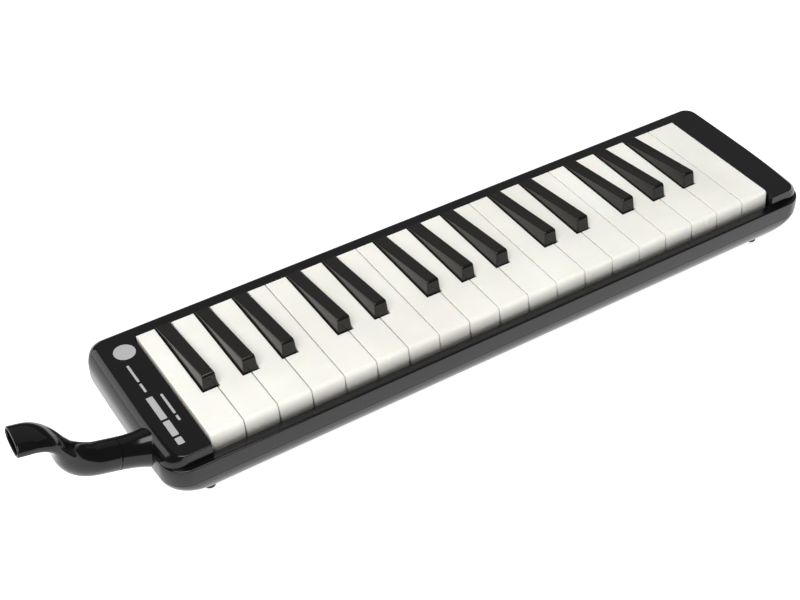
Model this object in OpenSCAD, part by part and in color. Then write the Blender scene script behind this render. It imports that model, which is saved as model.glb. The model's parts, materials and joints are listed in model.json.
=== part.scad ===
// Keyed free-reed wind instrument with 32 piano keys and a blow-in mouthpiece.
// Everything is drawn in keyboard coordinates: x runs to the treble end from the left
// edge of the first key, y runs to the back from the key fronts, z is zero on the key
// tops. place() then moves it so that the origin is under the middle of the instrument.

/* [Keyboard] */
// Centre distance of the white keys
white_pitch = 19.3; // [19:0.1:19.6]
// Length of a white key's playing surface
white_len = 85.2; // [84:0.1:85.4]
// Height of a white key's front face
white_front_h = 12; // [10:0.5:12]
// Length of a black key's playing surface
black_len = 56; // [50:1:60]
// Height of a black key's front edge above the white keys
black_rise = 8.5; // [6:0.5:10]
// Width of a black key at the level of the white keys
black_w = 8.6; // [8:0.1:9]
// Clear gap between neighbouring keys
key_gap = 0.5; // [0.3:0.1:0.8]

/* [Case] */
// Length of the case at its widest level
case_len = 421; // [419:1:424]
// Depth of the case at its widest level
case_depth = 106.8; // [106:0.1:108]
// Height of the case without its feet
case_h = 35.8; // [35.4:0.1:37]
// Wall thickness of both case halves
wall = 2.2; // [2:0.1:2.4]
// Height of the rubber feet
foot_h = 6.5; // [6:0.5:8]

/* [Mouthpiece] */
// Outer radius of the mouthpiece tube
tube_r = 8.4; // [8.2:0.05:8.6]
// Upward tilt of the neck
neck_tilt = 16; // [12:1:18]
// Width of the beak
beak_w = 20; // [18:1:22]
// Thickness of the beak at its tip
beak_t = 8; // [7.6:0.2:9]

/* [Action] */
// Front travel of a pressed white key
key_travel = 4; // [3:0.5:4]
// Radius of the steel rod that all keys turn on
rod_r = 1.5; // [1.4:0.1:1.6]
// Travel of the water release button
drain_travel = 2.5; // [2:0.5:3]

/* [Hidden] */
white_count = 19;
key_count = 32;
keyboard_len = white_count * white_pitch;
mid_x = keyboard_len / 2;
run_gap = 0.05;

// Black keys stand off the seam between their white neighbours, by the white key's
// place in the run F G A B C D E; undef where no black key follows
black_shift = [-3.55, 0, 3.55, undef, -1.75, 1.75, undef];
function has_black(i) = i >= 0 && i < white_count - 1 && !is_undef(black_shift[i % 7]);
function black_x(i) = (i + 1) * white_pitch + black_shift[i % 7];
BLACKS = [for (i = [0 : white_count - 1]) if (has_black(i)) i];

// A white key's tail runs between the slots of its black neighbours
slot_half = black_w / 2 + 0.6;
function tail_left(i) = has_black(i - 1) ? black_x(i - 1) + slot_half : i * white_pitch + key_gap / 2;
function tail_right(i) = has_black(i) ? black_x(i) - slot_half : (i + 1) * white_pitch - key_gap / 2;
function white_arm_x(i) = (tail_left(i) + tail_right(i)) / 2;

// Lever centres of all keys in playing order
ARMS = [for (i = [0 : white_count - 1]) each has_black(i) ? [white_arm_x(i), black_x(i)] : [white_arm_x(i)]];

// Levels of the case
case_top = -2.2;
case_bottom = case_top - case_h;
floor_z = case_bottom - foot_h;
seam_z = -19.5;
ledge_z = -9.3;
front_y = -8.3;
back_y = front_y + case_depth;
left_x = mid_x - case_len / 2;
right_x = mid_x + case_len / 2;
cheek_front_y = front_y + 3.8;
under_r = 20;

// Window that the keys stand in
window_gap = 0.8;
ledge_back_y = -2.8;
window_back_y = 85.6;

// Pivot rod of the keys
pivot_y = 87.6;
pivot_z = -8.5;
boss_r = 3.2;
arm_w = 7;

// Wind chest: cells over reed plates over the air chamber
chest_x0 = -4;
chest_x1 = keyboard_len + 4;
chest_y0 = 20;
chest_y1 = 78;
chest_top = -14;
chest_bottom = -24;
cell_w = 8.2;
cell_y0 = 25;
cell_y1 = 74.5;
cell_top = -15.5;
plate_t = 1;
gasket_t = 0.8;
rim_w = 2;
chamber_bottom = -29.5;
tray_t = 1.5;
pad_w = 8.4;
pad_t = 1.7;
pad_z0 = -22.8;
pad_z1 = -15.4;

// Hand recess and strap under the case
recess_x0 = mid_x - 100;
recess_x1 = mid_x + 100;
recess_y0 = 22;
recess_y1 = 70;
recess_z = -32;
strap_y = 46;
strap_w = 26;
strap_t = 1.8;

// Neck and mouthpiece, in the upright plane y = neck_y
neck_y = 22;
neck_x = -27;
neck_z = -13.2;
neck_out = 14.5;
spigot_r = 5.95;
socket_r = spigot_r + run_gap;
spigot_len = 15;
air_r = 4.6;

// Water release at the treble end
drain_y = 46;
stem_z = -26.55;
stem_r = 0.7;
stem_head_r = 1.2;
button_z = -25.3;
button_r = 3.8;
sleeve_x = right_x - 18;

// The mouthpiece's centre line in (x, z), as its climb against its length
path_len = 63;
path_steps = 20;
rise_angle = 68;
beak_angle = 12;
straight_end = 10;
rise_start = 31.5;
rise_end = 38.5;
bend_end = 56;
function path_angle(s) =
    s < straight_end ? neck_tilt :
    s < rise_start ? neck_tilt + (rise_angle - neck_tilt) * (s - straight_end) / (rise_start - straight_end) :
    s < rise_end ? rise_angle :
    s < bend_end ? rise_angle + (beak_angle - rise_angle) * (s - rise_end) / (bend_end - rise_end) :
    beak_angle;
function toward(a) = [-cos(a), sin(a)];
seam_point = [neck_x, neck_z] + neck_out * toward(neck_tilt);
path_step = path_len / path_steps;
PATH = [for (i = 0, p = seam_point; i <= path_steps;
    p = p + path_step * toward(path_angle((i + 0.5) * path_step)), i = i + 1) p];

// The section turns from a round tube into a flat beak along the way
function ease(t) = let (u = min(1, max(0, t))) u * u * (3 - 2 * u);
function to_beak(s) = ease((s - 30) / (path_len - 34));
beak_skew = 0.06;
ring_sides = 24;

// One ring of the tube, at step i, thinner than the outside by t
function ring(i, t) =
    let (s = i * path_step, a = path_angle(s), k = to_beak(s),
         half_w = tube_r + (beak_w / 2 - tube_r) * k - t,
         half_t = tube_r + (beak_t / 2 - tube_r) * ease((s - 16) / 29) - t,
         skew = beak_skew * ease((s - 40) / (path_len - 40)))
    [for (j = [0 : ring_sides - 1]) let (q = 360 * j / ring_sides, v = half_w * cos(q), u = half_t * sin(q))
        [PATH[i][0] + u * sin(a) + skew * v, neck_y + v, PATH[i][1] + u * cos(a)]];

// Box of the whole instrument, which sets the origin
beak_x = min([for (p = ring(path_steps, 0)) p[0]]);
shift_x = -(beak_x + right_x) / 2;
shift_y = -(front_y + back_y) / 2;

// ---- Shared shapes ----

// Moves keyboard coordinates to the part's frame
module place() {
    translate([shift_x, shift_y, -floor_z]) children();
}

// Points of an arc or of a quarter ellipse about (cx, cy)
function arc(cx, cy, rx, ry, from, to, steps = 8) =
    [for (i = [0 : steps]) let (a = from + (to - from) * i / steps) [cx + rx * cos(a), cy + ry * sin(a)]];

// Extrudes an outline drawn in (y, z) along x, from x0 over the given width
module along_x(x0, width) {
    translate([x0, 0, 0]) rotate([90, 0, 90]) linear_extrude(width) children();
}

// Extrudes an outline drawn in (x, z) along y, from y0 over the given depth
module along_y(y0, depth) {
    translate([0, y0 + depth, 0]) rotate([90, 0, 0]) linear_extrude(depth) children();
}

// A block between two opposite corners
module block(low, high) {
    translate(low) cube(high - low);
}

// A cylinder along x
module rod_x(x0, x1, y, z, r) {
    translate([x0, y, z]) rotate([0, 90, 0]) cylinder(h = x1 - x0, r = r, $fn = 48);
}

// An upright cylinder at (x, y) between two heights
module upright(x, y, z0, z1, r) {
    translate([x, y, z0]) cylinder(h = z1 - z0, r = r, $fn = 48);
}

// A pan-head screw pointing up, with its head's seat at z
module screw_up(x, y, z, shank_r, length, head_r, head_h) {
    upright(x, y, z, z + length, shank_r);
    upright(x, y, z - head_h, z, head_r);
}

// ---- Keys ----

key_wall = 1.8;
front_slant = 1.6;
front_round = 2;
key_top_t = 2.2;
skirt_z = -8;
black_front_y = white_len - black_len;
black_rear_rise = 0.9;
black_top_w = black_w - 1.4;
black_wall = 1.6;
rib_w = 3.2;
pallet_t = 2;
glue_gap = 0.04;
guide_gap = 0.1;

// Lever at the back of every key: boss on the rod, arm down to the pallet, and spring rib
module key_lever(x, rib_front_top, rib_back_top) {
    along_x(x - arm_w / 2, arm_w) polygon([
        [76, -1.5], [85, -1.5], [85, -4.8], [88.4, -5.4], [pivot_y + boss_r, pivot_z], [88.6, -11.4],
        [85.2, -13.4], [82, -pallet_t + pad_z1], [81.7, pad_z0], [79.7, pad_z0], [79.7, -14.6],
        [82.2, -11], [80, -7.4], [76, -6]
    ]);
    rod_x(x - arm_w / 2, x + arm_w / 2, pivot_y, pivot_z, boss_r);
    along_x(x - rib_w / 2, rib_w) polygon([[56, rib_front_top], [77, rib_back_top], [77, -7.4], [56, -9]]);
    block([x - pad_w / 2, chest_y1 + pad_t, pad_z0], [x + pad_w / 2, chest_y1 + pad_t + pallet_t, pad_z1]);
}

module key_pad(x) {
    block([x - pad_w / 2, chest_y1, pad_z0], [x + pad_w / 2, chest_y1 + pad_t - glue_gap, pad_z1]);
}

module key_bore(x) {
    rod_x(x - arm_w, x + arm_w, pivot_y, pivot_z, rod_r + run_gap);
}

module white_key_side() {
    polygon(concat(
        arc(front_round, -front_round, front_round, front_round, 180, 90),
        [[white_len, 0], [white_len, -4], [white_len - 2, skirt_z], [45, skirt_z], [19, skirt_z - 2],
         [15, -white_front_h], [-front_slant, -white_front_h]]
    ));
}

module white_key(i) {
    x0 = i * white_pitch + key_gap / 2;
    x1 = (i + 1) * white_pitch - key_gap / 2;
    tail_x0 = tail_left(i);
    tail_x1 = tail_right(i);
    slot_y = black_front_y - 0.7;
    color("ivory") place() {
        difference() {
            union() {
                difference() {
                    along_x(x0, x1 - x0) white_key_side();
                    block([x0 - 1, slot_y, -20], [tail_x0, 100, 1]);
                    block([tail_x1, slot_y, -20], [x1 + 1, 100, 1]);
                    block([x0 + key_wall, key_wall, -20], [x1 - key_wall, slot_y - key_wall, -key_top_t]);
                    block([tail_x0 + key_wall, key_wall, -20],
                          [tail_x1 - key_wall, white_len - key_wall, -key_top_t]);
                }
                key_lever(white_arm_x(i), -1.5, -1.5);
            }
            key_bore(white_arm_x(i));
        }
        key_pad(white_arm_x(i));
    }
}

module black_key(i) {
    x = black_x(i);
    color("black") place() {
        difference() {
            union() {
                difference() {
                    intersection() {
                        along_x(x - black_w / 2, black_w) polygon([
                            [black_front_y - 0.5, skirt_z], [black_front_y, 0],
                            [black_front_y + 1, black_rise - 1.2], [black_front_y + 2, black_rise],
                            [white_len, black_rear_rise], [white_len, -4], [white_len - 2, skirt_z]
                        ]);
                        along_y(black_front_y - 2, black_len + 4) polygon([
                            [x - black_w / 2, skirt_z - 1], [x + black_w / 2, skirt_z - 1],
                            [x + black_w / 2, 0], [x + black_top_w / 2, black_rise],
                            [x - black_top_w / 2, black_rise], [x - black_w / 2, 0]
                        ]);
                    }
                    along_x(x - black_w / 2 + black_wall, black_w - 2 * black_wall) polygon([
                        [black_front_y + 3, -20], [black_front_y + 3, black_rise - 3],
                        [white_len - key_wall, black_rear_rise - 2.4], [white_len - key_wall, -20]
                    ]);
                }
                key_lever(x, 2.6, -0.3);
            }
            key_bore(x);
        }
        key_pad(x);
    }
}

// ---- Case ----

// The case is a stack of rounded outlines. Each level is [height, end inset, front
// inset, back inset, front corner radius, back corner radius, front bow, back bow]; the
// bows are how far the ends fall back from their middle to their corners
corner_steps = 6;
cheek_in = 3.3;
bottom_end_in = 30;
under_levels = 5;
under_z = case_bottom + under_r;
UNDER = [for (i = [0 : under_levels]) let (a = 90 - 90 * i / under_levels, k = 1 - cos(a)) [
    under_z - under_r * sin(a), bottom_end_in * k, under_r * k, under_r * k,
    13 + 15 * k, 11 + 16 * k, 1.2 + 2.2 * k, 0.6 + 2.2 * k
]];
LEVELS = concat(UNDER, [
    [-12, 0, 0, 0, 13, 11, 1.3, 0.6],
    [ledge_z, 0.6, 0, 0.3, 13, 10, 1.5, 0.6],
    [ledge_z + 0.05, 1, cheek_in, 0.4, 10, 10, 1.6, 0.6],
    [-5.5, 2.6, cheek_in + 0.3, 1.2, 8, 8, 2, 0.5],
    [-3.2, 4.4, cheek_in + 0.4, 2.9, 7, 7, 2.6, 0.4],
    [case_top, 5.8, cheek_in + 0.5, 4.5, 6, 6, 2.8, 0.4]
]);

// Corner of an outline: centre, radius and start angle, as points
function corner(cx, cy, r, from) = arc(cx, cy, r, r, from, from + 90, corner_steps);

// Outline at a level, moved inwards by t
function case_ring(l, t) =
    let (half_l = case_len / 2 - l[1] - t, y0 = front_y + l[2] + t, y1 = back_y - l[3] - t,
         rf = max(1, l[4] - t), rb = max(1, l[5] - t), mid_y = (y0 + y1) / 2,
         front_half = half_l - l[6] - rf, back_half = half_l - l[7] - rb)
    [for (p = concat(
        corner(mid_x + front_half, y0 + rf, rf, -90), [[mid_x + half_l, mid_y]],
        corner(mid_x + back_half, y1 - rb, rb, 0),
        corner(mid_x - back_half, y1 - rb, rb, 90), [[mid_x - half_l, mid_y]],
        corner(mid_x - front_half, y0 + rf, rf, 180)
    )) [p[0], p[1], ring_z(l[0], t)]];

// Height of an inner outline: under the ledge, and inside the roof and the floor
function ring_z(z, t) = abs(z - ledge_z) < 0.1 ? z - t : max(case_bottom + t, min(case_top - t, z));

module case_solid(t) {
    rings = [for (l = LEVELS) case_ring(l, t)];
    n = len(rings[0]);
    last = len(rings) - 1;
    sides = [for (k = [0 : last - 1], j = [0 : n - 1]) let (m = (j + 1) % n)
        each [[k * n + j, (k + 1) * n + j, (k + 1) * n + m], [k * n + j, (k + 1) * n + m, k * n + m]]];
    floor_face = [[for (j = [0 : n - 1]) j]];
    top_face = [[for (j = [n - 1 : -1 : 0]) last * n + j]];
    polyhedron([for (r = rings) each r], concat(sides, floor_face, top_face), convexity = 4);
}

// Case screws stand in the cheeks, one near each corner
screw_x = 13.5;
SCREWS = [for (x = [-screw_x, keyboard_len + screw_x], y = [7, 82]) [x, y]];
case_screw_r = 1.5;
screw_boss_r = 4;
screw_seat_z = -27;
screw_len = 17;
boss_inset = 0.5;
skirt_bottom = chest_top + 0.5;

// The neck's own axis runs out of the bass end with the tilt of the neck
module on_neck_axis() {
    translate([neck_x, neck_y, neck_z]) rotate([0, -90 + neck_tilt, 0]) children();
}

// The case with the flare that it grows round the neck
module case_shell() {
    case_solid(0);
    on_neck_axis() translate([0, 0, -6]) cylinder(h = 12, r1 = 11, r2 = tube_r + 0.9, $fn = 64);
}

module neck_hole() {
    on_neck_axis() translate([0, 0, -14]) cylinder(h = 40, r = tube_r + 0.1, $fn = 64);
}

module upper_case() {
    x0 = -window_gap;
    x1 = keyboard_len + window_gap;
    color([0.07, 0.07, 0.08]) place() difference() {
        union() {
            difference() {
                case_shell();
                case_solid(wall);
            }
            // Skirts beside the end keys, and a lip behind the ledge
            intersection() {
                case_solid(boss_inset);
                union() {
                    block([x0 - 1.8, cheek_front_y, skirt_bottom], [x0, window_back_y, case_top - 1]);
                    block([x1, cheek_front_y, skirt_bottom], [x1 + 1.8, window_back_y, case_top - 1]);
                    block([x0, ledge_back_y - 1.6, -13.5], [x1, ledge_back_y, ledge_z - 0.5]);
                    for (p = SCREWS) upright(p[0], p[1], seam_z, -1, screw_boss_r);
                }
            }
        }
        block([left_x - 10, front_y - 10, -60], [right_x + 10, back_y + 10, seam_z]);
        block([x0, ledge_back_y, -60], [x1, window_back_y, 10]);
        block([x0, front_y - 5, ledge_z], [x1, 0, 10]);
        for (p = SCREWS) upright(p[0], p[1], seam_z - 1, screw_seat_z + screw_len + 1, case_screw_r + run_gap);
        neck_hole();
    }
}

module lower_case() {
    color([0.09, 0.09, 0.1]) place() difference() {
        union() {
            intersection() {
                difference() {
                    case_shell();
                    difference() {
                        case_solid(wall);
                        block([recess_x0 - wall, recess_y0 - wall, -60],
                              [recess_x1 + wall, recess_y1 + wall, recess_z + wall]);
                    }
                }
                block([left_x - 10, front_y - 10, -60], [right_x + 10, back_y + 10, seam_z]);
            }
            // Screw towers, foot seats and the sleeve of the water release
            intersection() {
                case_solid(boss_inset);
                union() {
                    for (p = SCREWS) upright(p[0], p[1], case_bottom, seam_z, screw_boss_r);
                    rod_x(sleeve_x, right_x, drain_y, button_z, button_r + 1.8);
                }
            }
            for (p = FEET) upright(p[0], p[1], case_bottom, case_bottom + 7, foot_r + 0.4);
            for (x = [24, keyboard_len - 26]) block([x, 30, case_bottom + 1], [x + 2, 70, chamber_bottom]);
        }
        block([recess_x0, recess_y0, -60], [recess_x1, recess_y1, recess_z]);
        for (p = SCREWS) {
            upright(p[0], p[1], screw_seat_z - 1, seam_z + 1, case_screw_r + run_gap);
            upright(p[0], p[1], case_bottom - 5, screw_seat_z, 3.1);
        }
        for (p = FEET)
            upright(p[0], p[1], case_bottom - 5, case_bottom + foot_pin_len + 0.3, foot_pin_r + run_gap);
        for (x = STRAP_ENDS) upright(x, strap_y, case_bottom - 5, case_bottom + 5, strap_screw_r + run_gap);
        rod_x(sleeve_x + 1.6, right_x + 5, drain_y, button_z, button_r + 0.1);
        rod_x(sleeve_x - 1, right_x, drain_y, stem_z, stem_r + 0.25);
        neck_hole();
    }
}

// ---- Feet, strap and case screws ----

foot_r = 4;
foot_pin_r = 2;
foot_pin_len = 3.5;
FEET = [for (x = [0.7, keyboard_len + 4], y = [9.5, 80]) [x, y]];

module rubber_feet() {
    color([0.12, 0.12, 0.12]) place() for (p = FEET) {
        translate([p[0], p[1], floor_z]) cylinder(h = foot_h, r1 = foot_r - 0.6, r2 = foot_r, $fn = 48);
        upright(p[0], p[1], case_bottom, case_bottom + foot_pin_len, foot_pin_r);
    }
}

module case_screws() {
    color("silver") place() for (p = SCREWS) screw_up(p[0], p[1], screw_seat_z, case_screw_r, screw_len, 2.8, 1.8);
}

strap_end_x = 112;
STRAP_ENDS = [mid_x - strap_end_x, mid_x + strap_end_x];
strap_sag = 3.4;
clip_l = 16;
clip_t = 1.2;
strap_screw_r = 1.25;

// Strap: flat ends screwed to the case, and a stretch that bows down over the recess
module hand_strap() {
    low = case_bottom - strap_sag;
    flat = strap_end_x - clip_l / 2 - 4;
    color([0.1, 0.1, 0.1]) place() difference() {
        along_y(strap_y - strap_w / 2, strap_w) polygon([
            [STRAP_ENDS[0] - 9, case_bottom], [STRAP_ENDS[0] - 9, case_bottom - strap_t],
            [mid_x - flat, case_bottom - strap_t], [mid_x - flat + 26, low - strap_t],
            [mid_x + flat - 26, low - strap_t], [mid_x + flat, case_bottom - strap_t],
            [STRAP_ENDS[1] + 9, case_bottom - strap_t], [STRAP_ENDS[1] + 9, case_bottom],
            [mid_x + flat, case_bottom], [mid_x + flat - 26, low], [mid_x - flat + 26, low],
            [mid_x - flat, case_bottom]
        ]);
        for (x = STRAP_ENDS) upright(x, strap_y, case_bottom - 5, case_bottom + 1, strap_screw_r + run_gap);
    }
}

module strap_clips() {
    z0 = case_bottom - strap_t - clip_t;
    color([0.08, 0.08, 0.08]) place() for (x = STRAP_ENDS) difference() {
        block([x - clip_l / 2, strap_y - strap_w / 2 - 1, z0],
              [x + clip_l / 2, strap_y + strap_w / 2 + 1, z0 + clip_t]);
        upright(x, strap_y, z0 - 1, z0 + 4, strap_screw_r + run_gap);
    }
}

module strap_screws() {
    color("silver") place() for (x = STRAP_ENDS)
        screw_up(x, strap_y, case_bottom - strap_t - clip_t, strap_screw_r, 7, 2.6, 1.2);
}

// ---- Wind chest ----

CHEST_SCREW_Y = [23.7, 72.6];
plate_split = (ARMS[15] + ARMS[16]) / 2;
CHEST_SCREWS = [for (x = [-1.4, plate_split, keyboard_len + 1.4], y = CHEST_SCREW_Y) [x, y]];
chest_screw_r = 1;
plate_screw_r = 0.8;
PLATE_STEPS = [1, 5, 9, 13];
function plate_screw_x(first, k) = (ARMS[first + k] + ARMS[first + k + 1]) / 2;
PLATE_SCREWS = [for (first = [0, 16], k = PLATE_STEPS, y = CHEST_SCREW_Y) [plate_screw_x(first, k), y]];

module wind_chest() {
    color([0.25, 0.25, 0.27]) place() difference() {
        block([chest_x0, chest_y0, chest_bottom], [chest_x1, chest_y1, chest_top]);
        for (x = ARMS) {
            block([x - cell_w / 2, cell_y0, chest_bottom - 1], [x + cell_w / 2, cell_y1, cell_top]);
            block([x - cell_w / 2 + 1, cell_y1 - 1, -21.4], [x + cell_w / 2 - 1, chest_y1 + 1, -16.8]);
        }
        for (p = CHEST_SCREWS) upright(p[0], p[1], -30, chest_bottom + 6, chest_screw_r + run_gap);
        for (p = PLATE_SCREWS) upright(p[0], p[1], -30, chest_bottom + 4, plate_screw_r + run_gap);
    }
}

plate_y0 = chest_y0 + rim_w + 0.4;
plate_y1 = chest_y1 - rim_w - 0.4;
REED_BASE_Y = 71;
function reed_len(k) = 42 * pow(15 / 42, k / (key_count - 1));
function reed_w(k) = 3.2 - 1.2 * k / (key_count - 1);

module reed_plate(first, x0, x1) {
    color([0.72, 0.62, 0.36]) place() difference() {
        block([x0, plate_y0, chest_bottom - plate_t], [x1, plate_y1, chest_bottom]);
        for (k = [first : first + 15])
            block([ARMS[k] - reed_w(k) / 2 - 0.05, REED_BASE_Y - 3 - reed_len(k), -30],
                  [ARMS[k] + reed_w(k) / 2 + 0.05, REED_BASE_Y - 3, 0]);
        for (p = PLATE_SCREWS) upright(p[0], p[1], -30, -20, plate_screw_r + run_gap);
    }
}

module reed_plate_low() {
    reed_plate(0, chest_x0 + 5.4, plate_split - 2.6);
}

module reed_plate_high() {
    reed_plate(16, plate_split + 2.6, chest_x1 - 5.4);
}

// Reed tongues lie on the air side of their plates, held by a rivet at the root
reed_t = 0.3;

module reeds(first) {
    z1 = chest_bottom - plate_t;
    color([0.85, 0.75, 0.5]) place() for (k = [first : first + 15]) {
        w = reed_w(k);
        block([ARMS[k] - w / 2, REED_BASE_Y - 3 - reed_len(k) + 0.3, z1 - reed_t],
              [ARMS[k] + w / 2, REED_BASE_Y, z1]);
        upright(ARMS[k], REED_BASE_Y - 1.5, z1 - reed_t - 0.5, z1 - 0.1, 0.9);
    }
}

module reeds_low() {
    reeds(0);
}

module reeds_high() {
    reeds(16);
}

module reed_plate_screws() {
    color("silver") place() for (p = PLATE_SCREWS)
        screw_up(p[0], p[1], chest_bottom - plate_t, plate_screw_r, 4.2, 1.5, 0.9);
}

module rim(z0, z1, width) {
    difference() {
        block([chest_x0, chest_y0, z0], [chest_x1, chest_y1, z1]);
        block([chest_x0 + 5, chest_y0 + width, z0 - 1], [chest_x1 - 5, chest_y1 - width, z1 + 1]);
    }
}

module chamber_gasket() {
    color([0.5, 0.15, 0.12]) place() difference() {
        rim(chest_bottom - gasket_t, chest_bottom, rim_w);
        for (p = CHEST_SCREWS) upright(p[0], p[1], -30, -20, chest_screw_r + run_gap);
    }
}

inlet_y0 = 14;
inlet_y1 = 30;

module chamber_cover() {
    top = chest_bottom - gasket_t;
    color([0.3, 0.3, 0.32]) place() difference() {
        union() {
            rim(chamber_bottom, top, rim_w);
            block([chest_x0, chest_y0, chamber_bottom], [chest_x1, chest_y1, chamber_bottom + tray_t]);
            for (y = CHEST_SCREW_Y) upright(plate_split, y, chamber_bottom, top, 2.4);
        }
        // Inlet slot from the neck, and the seat of the water release
        block([chest_x0 - 1, chest_y0 + rim_w, chamber_bottom + tray_t], [chest_x0 + 6, inlet_y1, top - 0.7]);
        rod_x(chest_x1 - 6, chest_x1 + 1, drain_y, stem_z, stem_r + 0.25);
        for (p = CHEST_SCREWS) {
            upright(p[0], p[1], chamber_bottom - 1, -20, chest_screw_r + run_gap);
            upright(p[0], p[1], chamber_bottom - 1, chamber_bottom + 1.4, 2.05);
        }
    }
}

module chamber_screws() {
    color("silver") place() for (p = CHEST_SCREWS)
        screw_up(p[0], p[1], chamber_bottom + 1.4, chest_screw_r, 9, 2, 1.3);
}

// ---- Key action ----

LUGS = [for (k = [3 : 4 : 27]) (ARMS[k] + ARMS[k + 1]) / 2];
lug_w = 2.4;

module pivot_rail() {
    color([0.2, 0.2, 0.22]) place() difference() {
        union() {
            block([chest_x0 - 3, 91.4, -27], [chest_x1 + 3, 93.4, -5.4]);
            for (x = LUGS) block([x - lug_w / 2, pivot_y - 2.6, -11.4], [x + lug_w / 2, 92, -5.4]);
            for (x = [chest_x0 - 3, chest_x1]) block([x, 60, chest_bottom], [x + 3, 92, -5.4]);
        }
        rod_x(chest_x0 - 5, chest_x1 + 5, pivot_y, pivot_z, rod_r + 0.02);
    }
}

module pivot_rod() {
    color("silver") place() rod_x(chest_x0 - 3, chest_x1 + 3, pivot_y, pivot_z, rod_r);
}

// One strip of spring steel, with a finger under each key's rib
module key_springs() {
    color([0.7, 0.7, 0.72]) place() {
        block([2, 46, chest_top], [keyboard_len - 2, 52, chest_top + 0.3]);
        for (x = ARMS) along_x(x - 1.2, 2.4) polygon([
            [50, chest_top], [52, chest_top], [63.5, -8.85], [63.5, -8.55], [52, chest_top + 0.3],
            [50, chest_top + 0.3]
        ]);
    }
}

white_post_w = white_pitch - key_gap - 2 * key_wall - 2 * guide_gap;
bed_top = -17.4;

module white_key_guides() {
    color([0.2, 0.2, 0.22]) place() {
        block([2, 2, bed_top - 1.6], [keyboard_len - 2, 18.6, bed_top]);
        block([16, 10.5, case_bottom + wall], [keyboard_len - 16, 12.5, bed_top - 1]);
        for (i = [0 : white_count - 1]) {
            x = (i + 0.5) * white_pitch;
            block([x - white_post_w / 2, 10, bed_top - 1], [x + white_post_w / 2, 13, -7]);
        }
    }
}

black_post_w = black_w - 2 * black_wall - 2 * guide_gap;

module black_key_guides() {
    color([0.2, 0.2, 0.22]) place() {
        block([2, 34, chest_top], [keyboard_len - 2, 42, chest_top + 1.2]);
        for (i = BLACKS) block([black_x(i) - black_post_w / 2, 36, chest_top + 1],
                               [black_x(i) + black_post_w / 2, 39, -1]);
    }
}

module down_stop_felt() {
    color([0.6, 0.1, 0.1]) place() block([2, 2.5, bed_top], [keyboard_len - 2, 8.5, -15.9]);
}

// ---- Neck and mouthpiece ----

function wall_at(i) = i == 0 ? 2.4 : 2.4 - 1.0 * to_beak(i * path_step);
tube_rings = concat(
    [for (i = [0 : path_steps]) ring(i, 0)],
    [for (i = [path_steps : -1 : 0]) ring(i, wall_at(i))]
);
ring_count = len(tube_rings);

module mouthpiece() {
    points = [for (r = tube_rings) each r];
    faces = [for (k = [0 : ring_count - 1], j = [0 : ring_sides - 1])
        let (a = k * ring_sides + j, b = k * ring_sides + (j + 1) % ring_sides,
             n = (k + 1) % ring_count, c = n * ring_sides + (j + 1) % ring_sides, d = n * ring_sides + j)
        each [[a, b, c], [a, c, d]]];
    color([0.06, 0.06, 0.07]) place() union() {
        polyhedron(points, faces, convexity = 6);
        // Round spigot that seats in the neck
        on_neck_axis() translate([0, 0, neck_out - spigot_len]) difference() {
            cylinder(h = spigot_len + 3, r = spigot_r, $fn = 64);
            translate([0, 0, -1]) cylinder(h = spigot_len + 5, r = air_r, $fn = 64);
            translate([0, 0, 5]) difference() {
                cylinder(h = 2, r = spigot_r + 1, $fn = 64);
                translate([0, 0, -1]) cylinder(h = 4, r = spigot_r - 0.9, $fn = 64);
            }
        }
    }
}

module mouth_seal() {
    seal_z = neck_out - spigot_len + 5.15;
    color([0.3, 0.3, 0.3]) place() on_neck_axis() translate([0, 0, seal_z]) difference() {
        cylinder(h = 1.7, r = spigot_r, $fn = 64);
        translate([0, 0, -1]) cylinder(h = 4, r = spigot_r - 0.85, $fn = 64);
    }
}

module mouth_socket() {
    socket_x0 = -19;
    duct_x0 = -14.5;
    color([0.06, 0.06, 0.07]) place() difference() {
        union() {
            on_neck_axis() translate([0, 0, -12]) cylinder(h = 12 + neck_out - 0.1, r = tube_r, $fn = 64);
            block([socket_x0, inlet_y0 - 1.5, -24], [chest_x0 - 3.1, inlet_y1 + 1.5, -10]);
            block([duct_x0, inlet_y0 - 1.5, chamber_bottom], [chest_x0 - 3.1, inlet_y1 + 1.5, -24]);
            block([duct_x0, chest_y0 + 0.5, chamber_bottom], [chest_x0, inlet_y1 + 1.5, -25]);
        }
        on_neck_axis() {
            translate([0, 0, neck_out - spigot_len - 1]) cylinder(h = spigot_len + 5, r = socket_r, $fn = 64);
            translate([0, 0, -13]) cylinder(h = 20, r = air_r, $fn = 64);
        }
        block([socket_x0 + 1.5, inlet_y0, -22.5], [chest_x0 - 4.6, inlet_y1, -12]);
        block([duct_x0 + 1.5, inlet_y0, chamber_bottom + 1.5], [chest_x0 - 4.6, inlet_y1, -12]);
        block([duct_x0 + 1.5, chest_y0 + rim_w, chamber_bottom + tray_t], [chest_x0 + 1, inlet_y1, -26]);
    }
}

// ---- Water release ----

seat_x = chest_x1 - 5;
seal_t = 1.2;

module drain_button() {
    color([0.1, 0.1, 0.1]) place() union() {
        rod_x(right_x - 7, right_x - 0.8, drain_y, button_z, button_r);
        rod_x(seat_x - seal_t - 1, right_x - 6, drain_y, stem_z, stem_r);
        rod_x(seat_x - seal_t - 2, seat_x - seal_t, drain_y, stem_z, stem_head_r);
    }
}

// Coils between the sleeve's end wall and the button
drain_turns = 5;
spring_wire_r = 0.35;
spring_x0 = sleeve_x + 1.6 + spring_wire_r;
spring_x1 = right_x - 7 - spring_wire_r;

module drain_spring() {
    color("silver") place() for (k = [0 : drain_turns - 1])
        translate([spring_x0 + k * (spring_x1 - spring_x0) / (drain_turns - 1), drain_y, button_z])
            rotate([0, 90, 0]) rotate_extrude($fn = 48) translate([3, 0]) circle(r = spring_wire_r, $fn = 16);
}

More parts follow.
